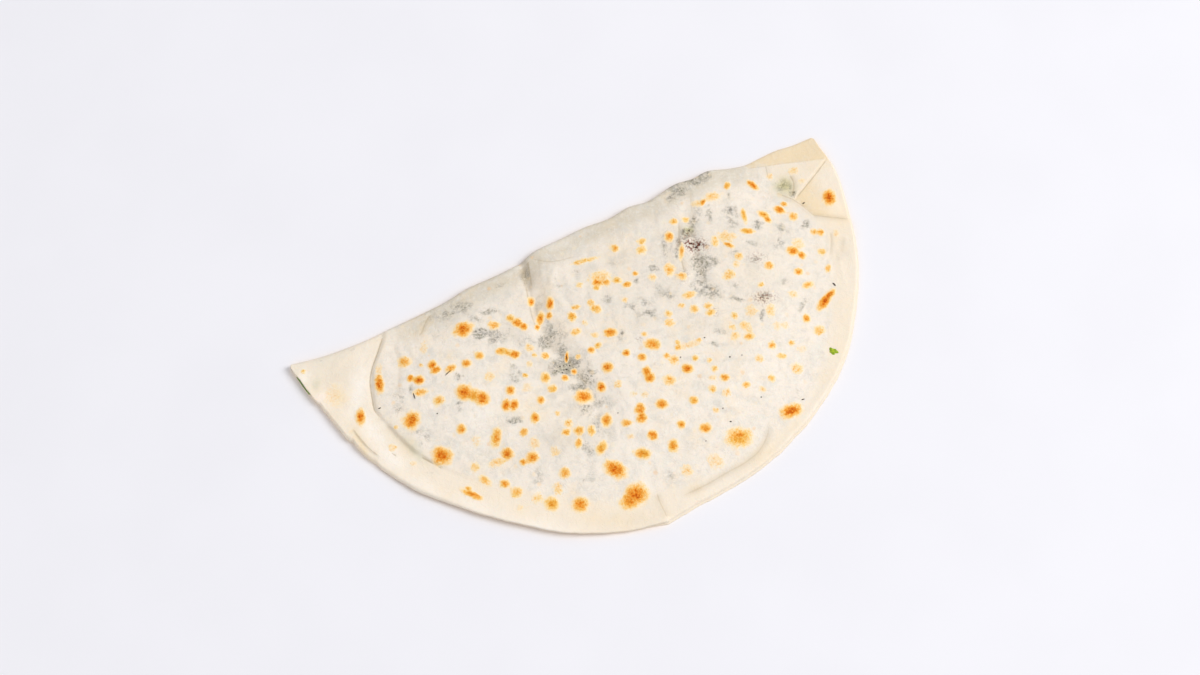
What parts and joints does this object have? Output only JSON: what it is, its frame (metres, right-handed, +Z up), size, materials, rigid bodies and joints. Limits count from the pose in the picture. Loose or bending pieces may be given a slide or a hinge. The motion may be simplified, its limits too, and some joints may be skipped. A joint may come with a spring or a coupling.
{
  "type": "qutab",
  "caption": "Thin round of dough folded in half over chopped greens and pressed shut: a flat half-moon flatbread with a toasted, wrinkled top, a pleated rim and filling showing at one tip.",
  "frame": {"origin": "centre of the bounding box, on the surface that the bread lies on", "axes": "+X along the folded edge towards the corner with the tucked pleat, +Y from the rounded rim towards the folded edge, +Z up"},
  "size_m": [0.2442, 0.132, 0.0073],
  "materials": {
    "dough": "matte baked dough, cream white with orange-brown toasted spots",
    "greens": "moist chopped herbs and spinach, dark green"
  },
  "bodies": {
    "root": {"dough": "dough", "filling": "greens"}
  },
  "joints": []
}
